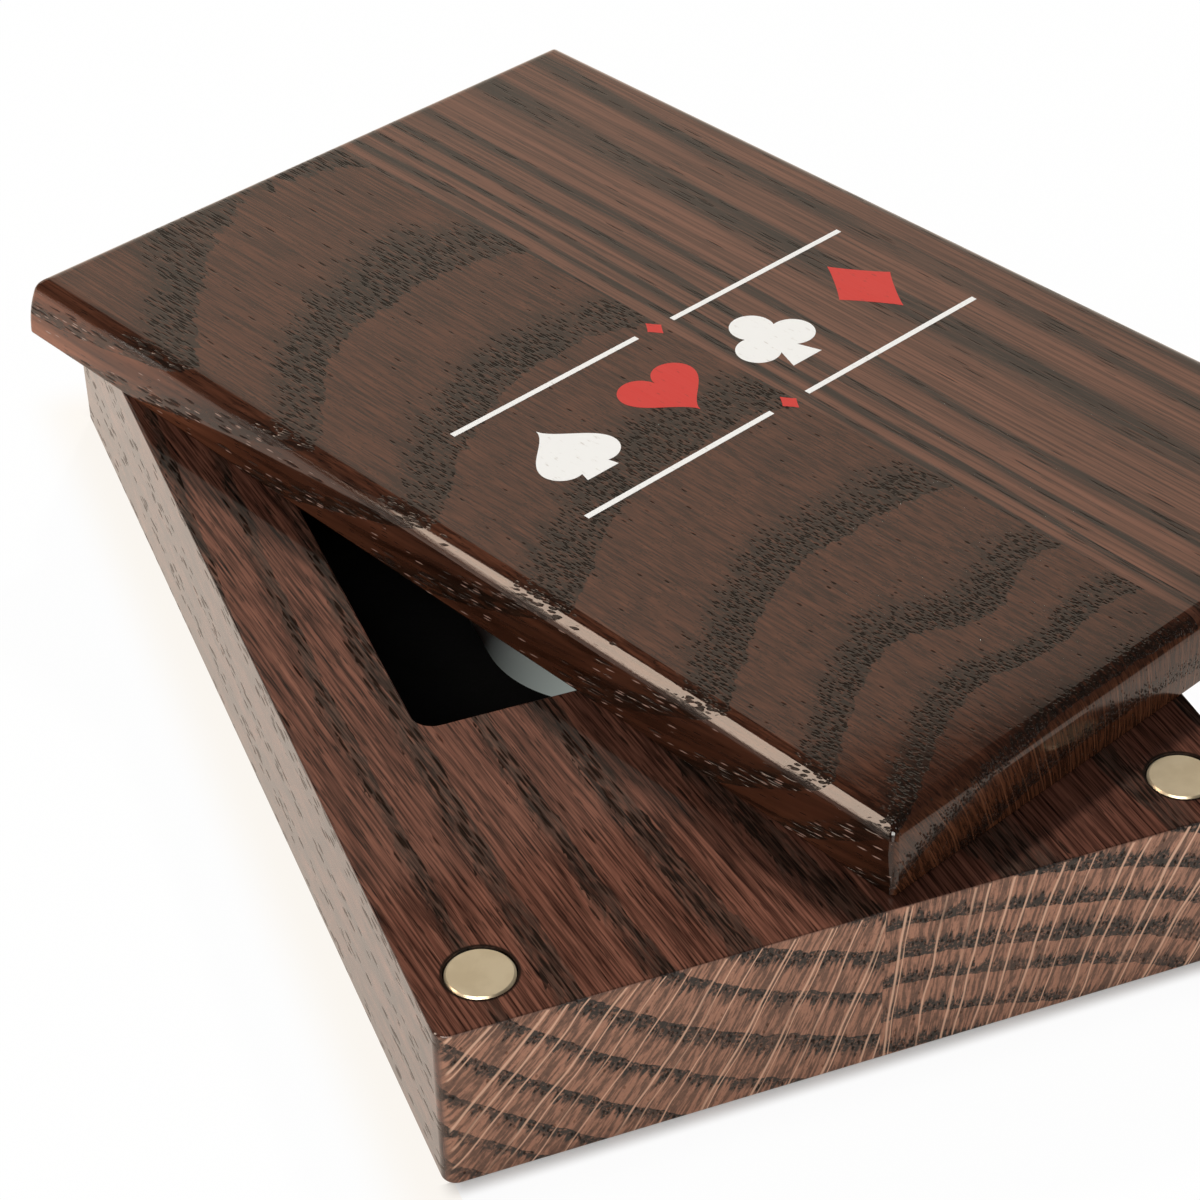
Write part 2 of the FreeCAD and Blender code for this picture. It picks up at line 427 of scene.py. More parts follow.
def wood(name, board, bores):
    """Open-pored, dark-stained, lacquered wood with growth rings, vessels, fibres and rays.

    The rings are cylinders about a pith line that leans and bends. Pale specks lie in their dark bands, and
    a dark ring of painted shade lies round each bore's mouth, where the gap beside the magnet is. The
    lacquer is duller where a vessel breaks it.
    """
    material, g, shader = new_material(name)
    lie = lie_of_board(g, board)
    faces = faces_of_board(g, board)
    fibres_place, vessels_place = fibre_places(g, board, lie, faces)
    band = porous_bands(g, board, lie, faces)
    large, pores, painted_glints = vessels(g, board, vessels_place, faces, band)
    rays = end_rays(g, board, lie, faces)
    fibre = g.noise(fibres_place, board["fibre"], 3.0)
    dots = g.noise(lie.grain, DOT_SIZE, 1.5)

    # colour of the plain wood and of the dark bands, with pale specks in them
    speck = g.fade(g.noise(fibres_place, board["speck_size"], 1.5), *SPECK_EDGE)
    speck = g.mix_values(faces.ends, speck, g.fade(dots, *DOT_EDGE))
    dark = g.math("MULTIPLY", band, g.math("MULTIPLY_ADD", speck, -board["specks"], 1.0))
    streak = g.noise(fibres_place, board["streak_size"], 3.0)
    streak = g.math("MULTIPLY_ADD", g.about_zero(streak), board["streaks"], 0.5, clamp=True)
    light = g.mix(streak, board["light"], board["warm"])
    on_face = g.mix(g.math("MULTIPLY", dark, board["depth"]), light, board["dark"])
    on_end = g.mix(g.math("MULTIPLY", dark, board["end_depth"]), board["end_light"], board["end_dark"])
    fine = fine_tone(g, board, lie, faces, fibres_place, fibre, dots)
    colour = g.mix(1.0, g.mix(faces.ends, on_face, on_end), g.join(fine, fine, fine), "MULTIPLY")

    # vessels, rays, painted glints and a ring of painted shade round each bore over it
    pore_share = g.mix_values(faces.ends, board["pore_depth"], board["end_pores"])
    pore_colour = g.mix(faces.upright, board["pore"], board["side_pore"])
    colour = g.mix(g.math("MULTIPLY", pores, pore_share), colour, pore_colour)
    colour = g.mix(g.math("MULTIPLY", rays, board["ray_depth"]), colour, board["ray"])
    # painted highlight: pale glints in the small vessels of the upright faces
    colour = g.mix(painted_glints, colour, board["painted_glint_colour"])
    # painted shade: a dark ring round each bore's mouth, where the gap beside the magnet lies
    for mouth in bores:
        off_mouth = g.vector("SUBTRACT", g.node("TexCoord", out="Object"), mouth)
        distance = g.vector("LENGTH", off_mouth)
        painted_gap_shade = g.fade(distance, GAP_SHADE_REACH, GAP_SHADE_REACH + GAP_SHADE_FADE, GAP_SHADE_DEPTH, 0.0)
        colour = g.mix(painted_gap_shade, colour, board["pore"])

    # lacquer, broken by the open vessels
    smooth = g.mix_values(faces.level, board["rough_sides"], board["rough_top"])
    smooth = g.mix_values(faces.ends, smooth, board["rough_ends"])
    smooth = g.mix_values(faces.flat_ends, smooth, board["rough_flat_ends"])
    roughness = g.math("MULTIPLY_ADD", large, board["pore_rough"], smooth)
    roughness = g.math("MULTIPLY_ADD", g.about_zero(fibre), FIBRE_ROUGHNESS, roughness, clamp=True)
    height = g.math("MULTIPLY_ADD", fibre, FIBRE_HEIGHT, g.math("MULTIPLY", large, -1.0))
    height = g.math("MULTIPLY_ADD", rays, RAY_HEIGHT, height)
    finish_with(g, shader, colour, roughness, height, relief=board["relief"], strength=board["bump"])
    shader.inputs["IOR"].default_value = LACQUER_IOR
    gloss = g.mix_values(faces.level, board["gloss"], board["gloss_top"])
    gloss = g.math("MULTIPLY_ADD", large, -board["dull_pores"], gloss, clamp=True)
    g.tree.links.new(gloss, shader.inputs["Specular IOR Level"])
    return material


def steps_from(first, last, step):
    """Radii from first to last, one step apart."""
    return [float(r) for r in np.arange(first, last + step / 2, step)]


# Sizes are in millimetres across, along and up, colours are linear, and the rest are shares and factors.
BASE_BOARD = {
    # the board in the tree
    "centre": (0.0, 0.0, 0.0),        # where its own coordinates start, in metres
    "turn": 0.0,                      # how far it is turned about the upright, in radians
    "bend": 0.0,                      # the pith's rise by the square of the distance along it
    "dip": ((0.0, 0.0, 0.0), (10.0, 10.0, 10.0), 0.0),  # centre, reach and depth of a dip in the rings
    "sway_size": (26.0, 80.0, 26.0),  # slow noise that sways the grain, and how far it does
    "sway": (2.4, 0.0, 2.4),
    # growth rings and their dark bands
    "step_size": (1.4, 14.0, 60.0),   # noise in the rings' edges, and how far it moves them
    "jagged": 1.0,
    "onset": 0.02,                    # share of a ring over which its band sets in
    "teeth": 0.6,                     # depth and size of the teeth in which the band ends
    "tooth_size": (0.42, 9.0, 5.0),
    "band": 0.25,                     # the band's share of a ring
    "long_band": 0.95,                # its factor on long faces
    "side_band": 1.45,                # its factor on upright faces
    "fade": 0.18,                     # share of a ring over which the band ends
    "patchy": 0.35,                   # how far the bands fade in patches
    # vessels
    "vessel": (0.42, 12.0, 0.7),      # cell that one large vessel lies in
    "core": (0.26, 0.46),             # where in its cell its edge starts and ends
    "crowd": 0.95,                    # share of cells in a band that hold one
    "side_crowd": 2.6,                # factor for that on upright faces
    "side_dashes": 3.6,               # how much shorter vessels are there
    "sparse": 0.02,                   # share of cells outside a band that hold one
    "small": 0.3,                     # share of small cells that hold a vessel
    "painted_glints": 0.0,                    # share of small cells on upright faces painted with pale glints, as highlights
    # fibres, lines, specks, streaks and clouds, each with its size and its strength
    "fibre": (0.22, 12.0, 1.1),
    "fibre_depth": 2.4,
    "line_size": (0.3, 24.0, 2.0),
    "lines": 0.8,
    "speck_size": (0.3, 3.5, 0.6),
    "specks": 0.5,
    "streak_size": (0.45, 50.0, 3.0),
    "streaks": 1.2,
    "clouds": 0.3,
    # rays on the ends, and the combing between them
    "ray_gap": 2.3,
    "ray_width": 0.075,
    "ray_depth": 0.85,
    "comb_size": (0.3, 6.0, 2.4),
    "comb": 0.95,
    # tones along the board, and painted light on its far sides
    "near_tone": 1.0,                 # of the board's near part
    "edge_tone": 1.0,                 # of the strip beside the near end, on long faces
    "far_side_painted_light": 1.0,             # painted light on the far part of the upright faces
    # colours, and how strongly each shows
    "light": (0.158, 0.066, 0.043),   # plain wood
    "warm": (0.058, 0.020, 0.013),    # its darker streaks
    "dark": (0.030, 0.021, 0.016),    # porous bands
    "depth": 0.74,
    "pore": (0.010, 0.007, 0.005),
    "side_pore": (0.074, 0.046, 0.032),
    "pore_depth": 0.85,
    "end_pores": 0.35,
    "end_light": (0.320, 0.155, 0.099),
    "end_dark": (0.026, 0.018, 0.014),
    "end_depth": 1.0,
    "ray": (0.90, 0.56, 0.39),
    # painted highlight: the colour of the pale glints on upright faces
    "painted_glint_colour": (0.50, 0.32, 0.26),
    # lacquer
    "rough_top": 0.06,
    "rough_sides": 0.05,
    "rough_ends": 0.55,
    "rough_flat_ends": 0.55,
    "pore_rough": 0.3,                # what an open vessel adds to the roughness
    "dull_pores": 0.3,                # what it takes from the gloss
    "relief": 0.04 * MM,              # depth of a large vessel
    "bump": 0.6,
    "gloss": 0.5,
    "gloss_top": 0.16,
}
LID_BOARD = {
    **BASE_BOARD,
    "centre": (lid_middle.x, lid_middle.y, lid_foot),
    "turn": lid_turn,
    "teeth": 0.5,
    "long_band": 1.0,
    "side_band": 1.0,
    "fade": 0.28,
    "side_crowd": 0.6,
    "side_dashes": 4.0,
    "painted_glints": 0.16,
    "ray_depth": 0.35,
    "comb": 0.9,
    "edge_tone": 0.55,
    # painted light: the far part of the lid's sides is brightened in place of the floor's bounce light
    "far_side_painted_light": 2.4,
    "side_pore": (0.012, 0.006, 0.004),
    "end_light": (0.085, 0.030, 0.014),
    "end_dark": (0.030, 0.013, 0.008),
    "ray": (0.30, 0.12, 0.06),
    "rough_ends": 0.09,
    "rough_flat_ends": 0.15,
    "relief": 0.07 * MM,
    "gloss_top": 0.5,
}

# What each board has of its own: the seed of its noise, the pith's place and lean, the mean radius of its
# rings, how its fibres run against the pith, and the radii at which its rings start.
WOODS = {
    "base_left_board": {
        **BASE_BOARD,
        "seed": 11.0,
        "pith": (35.5, 69.4),
        "lean": (0.154, -0.196),
        "mean_radius": 85.0,
        "run": (-0.12, 0.03),
        "starts": [
            *steps_from(41.0, 62.2, 5.3), 67.2, 72.5, 77.8, 83.4, 89.0, 94.4, 99.0,
            *steps_from(102.7, 118.0, 3.8),
        ],
    },
    "base_right_board": {
        **BASE_BOARD,
        "seed": 37.0,
        "pith": (-2.0, -88.5),
        "lean": (0.04, -0.06),
        "mean_radius": 97.0,
        "run": (-0.06, -0.1),
        "starts": [
            *steps_from(70.5, 84.6, 4.6), 89.0, 93.9, 97.6, 102.4, 106.8,
            *steps_from(111.4, 130.0, 4.6),
        ],
        "band": 0.33,
        "long_band": 0.7,
        "light": (0.115, 0.046, 0.030),
        "warm": (0.042, 0.015, 0.010),
    },
    "lid_left_board": {
        **LID_BOARD,
        "seed": 5.0,
        "pith": (-11.0, -107.0),
        "lean": (0.0, -0.30),
        "bend": 0.00137,
        "mean_radius": 112.0,
        "run": (0.0, 0.0),
        "starts": [
            *steps_from(64.0, 85.7, 5.4), 90.7, 95.7, 102.4, 111.2, 118.7, 124.4, 129.3, 134.5, 140.0,
        ],
        "dip": ((-12.0, -57.0, 0.0), (14.0, 20.0, 1.0), 2.2),
        "sway_size": (16.0, 30.0, 16.0),
        "sway": (2.2, 0.0, 1.6),
        "step_size": (1.1, 30.0, 60.0),
        "jagged": 0.9,
        "onset": 0.012,
        "tooth_size": (0.5, 30.0, 5.0),
        "band": 0.22,
        "patchy": 0.2,
        "vessel": (0.32, 12.0, 0.36),
        "core": (0.28, 0.54),
        "crowd": 1.0,
        "small": 0.22,
        "fibre": (0.2, 16.0, 0.8),
        "fibre_depth": 2.0,
        "line_size": (0.3, 26.0, 2.0),
        "lines": 0.55,
        "speck_size": (0.3, 2.4, 0.5),
        "specks": 0.75,
        "streaks": 1.6,
        "near_tone": 0.85,
        "light": (0.088, 0.031, 0.016),
        "warm": (0.050, 0.016, 0.008),
        "dark": (0.020, 0.010, 0.006),
        "depth": 0.92,
        "pore": (0.008, 0.005, 0.003),
        "pore_depth": 0.8,
        "dull_pores": 0.34,
    },
    "lid_right_board": {
        **LID_BOARD,
        "seed": 23.0,
        "pith": (120.0, 3.0),
        "lean": (0.03, 0.0),
        "mean_radius": 100.0,
        "run": (0.02, -0.05),
        "starts": [60.0, 67.0, 74.0, 80.5, 89.0, 102.5, 108.0, 111.5, 114.5, 117.5, 121.0],
        "sway_size": (14.0, 60.0, 14.0),
        "sway": (4.0, 0.0, 3.0),
        "step_size": (1.0, 40.0, 1.0),
        "jagged": 0.8,
        "onset": 0.12,
        "tooth_size": (6.0, 60.0, 0.8),
        "band": 0.32,
        "vessel": (0.28, 14.0, 0.28),
        "crowd": 0.4,
        "small": 0.12,
        "painted_glints": 0.04,
        "fibre": (0.24, 20.0, 0.8),
        "fibre_depth": 1.5,
        "line_size": (0.4, 60.0, 3.0),
        "lines": 0.5,
        "speck_size": (0.3, 20.0, 1.0),
        "specks": 0.3,
        "streak_size": (1.6, 140.0, 4.0),
        "streaks": 1.1,
        "light": (0.142, 0.057, 0.035),
        "warm": (0.090, 0.036, 0.021),
        "dark": (0.016, 0.011, 0.008),
        "depth": 0.9,
        "pore_depth": 0.8,
    },
}


# ---------------------------------------------------------------- nickel, felt and print
NICKEL_TINTS = ((0.70, 0.57, 0.38), (0.77, 0.64, 0.44))
NICKEL_ROUGHNESS = 0.24
NICKEL_METALLIC = 0.55
FELT_DEEP, FELT_TIPS = (0.0022, 0.0022, 0.0024), (0.009, 0.009, 0.0095)
FELT_CURL = (2.2, 2.2, 2.2)
FELT_GLOSS = 0.1
WHITE_INK, WHITE_WORN = (0.88, 0.875, 0.86), (0.62, 0.58, 0.54)
RED_INK, RED_WORN = (0.62, 0.035, 0.028), (0.34, 0.03, 0.022)


def nickel():
    """Nickel plate: a warm mirror dulled by fine grit and faint clouding."""
    material, g, shader = new_material("nickel_plate")
    place = board_place(g, (0.0, 0.0, 0.0), 0.0)
    cloud = g.noise(place, (3.0, 3.0, 3.0), 3.0)
    grit = g.noise(place, (0.12, 0.12, 0.12), 2.0)
    tint = g.mix(g.fade(cloud, 0.35, 0.65), *NICKEL_TINTS)
    gritty = g.math("MULTIPLY_ADD", grit, 0.05, NICKEL_ROUGHNESS)
    roughness = g.math("MULTIPLY_ADD", cloud, 0.1, gritty)
    finish_with(g, shader, tint, roughness, grit, relief=0.002 * MM, strength=0.35)
    shader.inputs["Metallic"].default_value = NICKEL_METALLIC
    return material


def felt():
    """Black felt: a tangle of short fibres over a soft, uneven nap."""
    material, g, shader = new_material("black_felt")
    place = board_place(g, (0.0, 0.0, 0.0), 0.0)
    curled = g.vector("MULTIPLY_ADD", g.sway(place, (0.9, 0.9, 0.9), 2.0), FELT_CURL, place)
    one_way = g.noise(curled, (0.09, 0.9, 0.3), 2.0)
    other_way = g.noise(curled, (0.9, 0.09, 0.3), 2.0)
    fibres = g.math("MAXIMUM", one_way, other_way)
    nap = g.noise(place, (5.0, 5.0, 5.0), 2.0)
    shade = g.math("MULTIPLY_ADD", nap, 0.3, fibres)
    colour = g.mix(g.fade(shade, 0.55, 0.95), FELT_DEEP, FELT_TIPS)
    roughness = g.fade(fibres, 0.3, 0.7, 0.9, 1.0)
    finish_with(g, shader, colour, roughness, shade, relief=0.25 * MM)
    shader.inputs["Specular IOR Level"].default_value = FELT_GLOSS
    return material


def print_ink(name, ink, worn):
    """Pad-printed ink: a thin film that sinks a little into the grain and wears thin in specks."""
    material, g, shader = new_material(name)
    place = board_place(g, lid_middle, lid_turn)
    grain = g.noise(place, (0.3, 5.0, 0.3), 2.0)
    specks = g.noise(place, (0.5, 1.6, 0.5), 3.0)
    colour = g.mix(g.fade(specks, 0.6, 0.78), ink, worn)
    roughness = g.fade(grain, 0.3, 0.7, 0.32, 0.45)
    finish_with(g, shader, colour, roughness, grain, relief=0.02 * MM, strength=0.6)
    return material


# ---------------------------------------------------------------- printed pips
PRINT_MIDDLE = (2.5 * MM, -2.0 * MM)      # from the lid's middle, across and along
PRINT_FILM = 0.02 * MM
PIP_HEIGHT = 12.0 * MM
PIP_STEP = 17.0 * MM
RULE_OFFSET = 11.5 * MM
RULE_LENGTH = 66.0 * MM
RULE_WIDTH = 0.8 * MM
RULE_HALF_GAP = 3.0 * MM
LOZENGE_HALF = 1.5 * MM
OUTLINE_POINTS = 240
FILM_RINGS = 7

# Outlines of the suits, in shares of a pip's half height
STEM = (1.06, 0.42, 0.07)                 # the foot's level, its half width and the waist's half width
CLUB_LOBES = ((0.0, 0.52), (-0.50, -0.16), (0.50, -0.16))
CLUB_LOBE_RADIUS = 0.47
DIAMOND_HALF_WIDTH = 0.78
DIAMOND_HALF_HEIGHT = 1.08
DIAMOND_HOLLOW = 0.93
HEART_SIZE = 17
HEART_RISE = 2.5
HEART_POINTS = 721
STEM_STEPS = 200


def circle_reach(angle, centre, radius):
    """How far a ray from the middle goes before it leaves a circle.

    With d and b the distance and bearing of the circle's centre and r its radius, the ray at bearing a
    leaves it at d cos(a - b) + sqrt(r^2 - (d sin(a - b))^2).
    """
    distance, bearing = math.hypot(*centre), math.atan2(centre[1], centre[0])
    across = distance * np.sin(angle - bearing)
    inside = radius**2 - across**2
    reach = distance * np.cos(angle - bearing) + np.sqrt(np.maximum(inside, 0.0))
    return np.where(inside > 0.0, np.maximum(reach, 0.0), 0.0)


def stem_reach(angle, foot, half_foot, half_waist):
    """How far a ray from the middle goes inside a flared stem that ends at y = -foot.

    The ray meets the foot line at foot / -sin(a), and its flank where
    |x| = half_waist + (half_foot - half_waist) (y / foot)^3.
    """
    down = np.maximum(-np.sin(angle), 1e-6)
    reach = np.linspace(0.0, 1.0, STEM_STEPS)[:, None] * foot / down[None, :]
    x = np.abs(reach * np.cos(angle)[None, :])
    y = -reach * np.sin(angle)[None, :]
    flank = half_waist + (half_foot - half_waist) * (y / foot) ** 3
    inside = (x <= flank) & (np.sin(angle)[None, :] < 0)
    return np.where(inside, reach, 0.0).max(axis=0)


def heart_reach(angle, upright=1.0):
    """The outline of a heart as a distance for each bearing, upside down where upright is -1.

    The curve x = 16 sin^3 t, y = 13 cos t - 5 cos 2t - 2 cos 3t - cos 4t + 2.5, over 17, is read at each
    bearing.
    """
    t = np.linspace(0.0, 2 * math.pi, HEART_POINTS)
    x = 16 * np.sin(t) ** 3 / HEART_SIZE
    y = 13 * np.cos(t) - 5 * np.cos(2 * t) - 2 * np.cos(3 * t) - np.cos(4 * t) + HEART_RISE
    y = upright * y / HEART_SIZE
    bearing = np.arctan2(y, x)
    order = np.argsort(bearing)
    return np.interp(angle, bearing[order], np.hypot(x, y)[order], period=2 * math.pi)


def diamond_reach(angle):
    """The outline of a diamond with slightly hollow sides.

    It is (|x| / half width)^h + (|y| / half height)^h = 1, where h is just under one.
    """
    across = np.abs(np.cos(angle)) / DIAMOND_HALF_WIDTH
    up = np.abs(np.sin(angle)) / DIAMOND_HALF_HEIGHT
    return (across**DIAMOND_HOLLOW + up**DIAMOND_HOLLOW) ** (-1 / DIAMOND_HOLLOW)


def pip_reach(kind, angle):
    """The outline of one suit pip, as a distance for each bearing, within a circle of about one."""
    if kind == "heart":
        return heart_reach(angle)
    if kind == "diamond":
        return diamond_reach(angle)
    if kind == "spade":
        leaves = [heart_reach(angle, upright=-1.0)]
    else:
        leaves = [circle_reach(angle, centre, CLUB_LOBE_RADIUS) for centre in CLUB_LOBES]
    return np.max([*leaves, stem_reach(angle, *STEM)], axis=0)


def merge_doubles(mesh):
    """Merges the points that lie together at the poles and turns the faces outwards."""
    work = bmesh.new()
    work.from_mesh(mesh)
    bmesh.ops.remove_doubles(work, verts=work.verts, dist=1e-7)
    bmesh.ops.recalc_face_normals(work, faces=work.faces)
    work.to_mesh(mesh)
    work.free()


def mesh_piece(name, points, faces, material):
    """A mesh object from points and faces, its doubles merged, that rides on the lid."""
    mesh = bpy.data.meshes.new(name)
    mesh.from_pydata(points.tolist(), [], faces.tolist())
    mesh.validate()
    piece = bpy.data.objects.new(name, mesh)
    bpy.context.scene.collection.objects.link(piece)
    merge_doubles(mesh)
    mesh.materials.append(material)
    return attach(piece, "lid")


def film(name, outline, centre, material):
    """A thin closed film of ink with the given outline about its centre, lying on the lid's top.

    The surface is a grid of share by bearing: point = centre + share outline(bearing), out along the top
    and back along the underside, so that both poles close.
    """
    out_and_back = [np.linspace(0.0, 1.0, FILM_RINGS), np.linspace(1.0, 0.0, FILM_RINGS)]
    shares = np.concatenate(out_and_back)
    heights = np.repeat([PRINT_FILM, -PRINT_FILM], FILM_RINGS)
    flat = centre[None, None, :] + shares[:, None, None] * outline[None, :, :]
    points = (
        np.array((lid_middle.x, lid_middle.y, lid_top))[None, None, :]
        + flat[..., :1] * np.array(lid_across)
        + flat[..., 1:] * np.array(lid_along)
        + heights[:, None, None] * np.array((0.0, 0.0, 1.0))
    )
    count = len(outline)
    rows, columns = np.meshgrid(np.arange(len(shares) - 1), np.arange(count), indexing="ij")
    row, after = rows * count, (columns + 1) % count
    corners = [row + columns, row + count + columns, row + count + after, row + after]
    faces = np.stack(corners, axis=-1).reshape(-1, 4)
    return mesh_piece(name, points.reshape(-1, 3), faces, material)


def print_pips():
    """A row of the four suits between two fine rules, each rule broken by a small lozenge.

    Each outline is its reach at a bearing times the unit vector of that bearing, and a rule is a rectangle.
    """
    white = print_ink("print_white", WHITE_INK, WHITE_WORN)
    red = print_ink("print_red", RED_INK, RED_WORN)
    bearing = np.linspace(0.0, 2 * math.pi, OUTLINE_POINTS, endpoint=False)
    rays = np.stack([np.cos(bearing), np.sin(bearing)], axis=-1)
    print_x, print_y = PRINT_MIDDLE

    suits = (("spade", white), ("heart", red), ("club", white), ("diamond", red))
    for number, (suit, ink) in enumerate(suits):
        outline = rays * pip_reach(suit, bearing)[:, None] * PIP_HEIGHT / 2
        step = (number - (len(suits) - 1) / 2) * PIP_STEP
        film(f"printed_{suit}", outline, np.array((print_x + step, print_y)), ink)

    half_rule = (RULE_LENGTH / 2 - RULE_HALF_GAP) / 2
    rule = np.array(((1.0, -1.0), (1.0, 1.0), (-1.0, 1.0), (-1.0, -1.0))) * (half_rule, RULE_WIDTH / 2)
    lozenge = rays * diamond_reach(bearing)[:, None] * LOZENGE_HALF
    for level, sign in (("upper", 1.0), ("lower", -1.0)):
        height = print_y + sign * RULE_OFFSET
        for hand, way in (("left", -1.0), ("right", 1.0)):
            centre = np.array((print_x + way * (RULE_HALF_GAP + half_rule), height))
            film(f"printed_rule_{level}_{hand}", rule, centre, white)
        film(f"printed_lozenge_{level}", lozenge, np.array((print_x, height)), red)


# ---------------------------------------------------------------- floor, lamps and camera
# Places are in metres, and colours are linear.
FLOOR_HALF = 6.0
FLOOR_LEVEL = -0.05 * MM
FLOOR_WHITE = (0.86, 0.855, 0.845)
FLOOR_REFLECTED = (1.0, 0.86, 0.74)
# painted light: the warm glow on the floor beside the base's long sides, as if bounced off the wood
FLOOR_PAINTED_BOUNCE = (0.995, 0.955, 0.90)
# painted light: the greenish tint of the floor seen through the base's opening
FLOOR_OPENING_PAINTED_LIGHT = (0.90, 1.0, 0.93)

WARM_WHITE = (1.0, 0.96, 0.90)
WALL_WHITE = (1.0, 0.90, 0.74)
KEY_WHITE = (1.0, 0.985, 0.96)
STRIP_WHITE = (1.0, 0.78, 0.62)
STRIP_SIGHT = (-0.8436, 0.3307, 0.4232)
STRIP_RISE = (0.496, 0.212, 0.842)
STRIP_LAST_BOUNCE = 2.5                   # rays deeper than this don't see the strip
KEY_WAY = (0.392, 0.707, 0.588)
KEY_POWER = 3.0
KEY_ANGLE = math.radians(5.0)
BOX_MIDDLE = (0.0, 0.0, 0.02)

CAMERA_PLACE = (-0.104644, -0.280924, 0.236372)
CAMERA_TARGET = (-0.00643, -0.01587, 0.0207)
CAMERA_ROLL = -1.302
CAMERA_LENS = 94.25
CAMERA_SENSOR = 36.0

ROOM_LIGHT = 0.3
ROOM_REFLECTED = 0.05


def floor_glow(g, path, outside_x, outside_y):
    """The floor's own light: white, with painted warm light beside the base's long sides and greenish
    painted light in its opening.
    """
    outside = g.math("MAXIMUM", outside_x, outside_y)
    past_side = g.math("GREATER_THAN", outside_x, -1.0 * MM)
    painted_bounce_reach = g.math("MULTIPLY", past_side, g.fade(outside_y, 0.0, 10.0 * MM, 1.0, 0.0))
    # painted light: a warm glow on the floor beside the long sides, as if bounced off the wood
    painted_warm_bounce = g.math("MULTIPLY", g.fade(outside_x, 1.0 * MM, 9.0 * MM, 1.0, 0.0), painted_bounce_reach)
    plain = g.mix(painted_warm_bounce, (1.0, 1.0, 1.0), FLOOR_PAINTED_BOUNCE)
    # painted light: a greenish tint on the floor seen through the opening
    painted_opening_tint = g.fade(outside, -2.0 * MM, -1.0 * MM, 1.0, 0.0)
    plain = g.mix(painted_opening_tint, plain, FLOOR_OPENING_PAINTED_LIGHT)
    white = g.mix(path["Is Glossy Ray"], plain, FLOOR_REFLECTED)
    return g.node("Emission", {"Color": white, "Strength": 1.0})


def floor_share(g, path, x, y, outside_x, outside_y):
    """How much of the floor's own light shows.

    Only rays that look at the floor see it, and those that gather light find the shaded white alone. It
    is weakest close to the base's ends. Under the base, where the opening shows it, it is a painted patch
    of light that grows along x - y.
    """
    outside = g.math("MAXIMUM", outside_x, outside_y)
    seen = g.math("MAXIMUM", path["Is Camera Ray"], path["Is Glossy Ray"])
    seen = g.math("MAXIMUM", seen, path["Is Transmission Ray"])
    beside = g.fade(outside, 0.0, 8.0 * MM, 0.95, 0.98)
    past_end = g.math("GREATER_THAN", outside_y, -0.6 * MM)
    at_ends = g.math("MULTIPLY", g.fade(outside_y, 0.0, 2.2 * MM, 0.68, 0.0), past_end)
    at_ends = g.math("MULTIPLY", at_ends, g.fade(outside_x, -2.0 * MM, 1.0 * MM, 1.0, 0.0))
    # painted light: under the base, the floor seen through the opening brightens along x - y
    slant = g.math("SUBTRACT", x, y)
    painted_opening_light = {"Value": slant, "From Min": -20.0 * MM, "From Max": 0.0, "To Min": 0.0, "To Max": 0.24}
    painted_opening_light = g.node("MapRange", painted_opening_light)
    share = g.math("MULTIPLY", g.fade(outside, -2.0 * MM, 0.0, painted_opening_light, 1.0), beside)
    share = g.math("SUBTRACT", share, at_ends, clamp=True)
    return g.math("MULTIPLY", seen, share)


def floor_white():
    """Matt white that shines by itself to the eye, keeps part of each shadow and is clear from below."""
    material, g, shader = new_material("floor_white")
    shader.inputs["Base Color"].default_value = (*FLOOR_WHITE, 1.0)
    shader.inputs["Roughness"].default_value = 1.0
    shader.inputs["Specular IOR Level"].default_value = 0.0
    path = g.tree.nodes.new("ShaderNodeLightPath").outputs
    x, y, _ = g.split(g.node("TexCoord", out="Object"))
    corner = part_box("base_right_board")[1]
    outside_x = g.math("SUBTRACT", g.math("ABSOLUTE", x), corner.x)
    outside_y = g.math("SUBTRACT", g.math("ABSOLUTE", y), corner.y)
    glow = floor_glow(g, path, outside_x, outside_y)
    share = floor_share(g, path, x, y, outside_x, outside_y)
    blend = g.node("MixShader", {0: share, 1: shader.outputs[0], 2: glow})
    below = g.node("NewGeometry", out="Backfacing")
    blend = g.node("MixShader", {0: below, 1: blend, 2: g.node("BsdfTransparent")})
    output = next(n for n in g.tree.nodes if n.type == "OUTPUT_MATERIAL")
    g.tree.links.new(blend, output.inputs["Surface"])
    return material


def floor():
    """A pale floor, a hair below the base, so that the underside can be looked at through it."""
    half, level = FLOOR_HALF, FLOOR_LEVEL
    corners = [(-half, -half, level), (half, -half, level), (half, half, level), (-half, half, level)]
    mesh = bpy.data.meshes.new("floor")
    mesh.from_pydata(corners, [], [(0, 1, 2, 3)])
    piece = bpy.data.objects.new("floor", mesh)
    bpy.context.scene.collection.objects.link(piece)
    mesh.materials.append(floor_white())


def aimed(thing, place, target, roll=0.0):
    """Puts a lamp or camera at place, looking at target, turned by roll degrees about its own line."""
    look = (Vector(target) - Vector(place)).to_track_quat("-Z", "Y").to_matrix().to_4x4()
    turn = Matrix.Rotation(math.radians(roll), 4, "Z")
    thing.matrix_world = Matrix.Translation(Vector(place)) @ look @ turn


def soft_panel(name, place, target, size, brightness, colour=WARM_WHITE, **seen_by):
    """A rectangular lamp of size = (width, height) metres that looks as bright as brightness times white.

    A flat panel of area A gives a brightness of power / (pi A). No camera sees it, and seen_by names other
    kinds of ray that don't, as in glossy=False.
    """
    lamp = bpy.data.lights.new(name, "AREA")
    lamp.shape = "RECTANGLE"
    lamp.size, lamp.size_y = size
    lamp.energy = brightness * math.pi * size[0] * size[1]
    lamp.color = colour
    thing = bpy.data.objects.new(name, lamp)
    bpy.context.scene.collection.objects.link(thing)
    aimed(thing, place, target)
    thing.visible_camera = False
    for kind, seen in seen_by.items():
        setattr(thing, f"visible_{kind}", seen)
    return thing


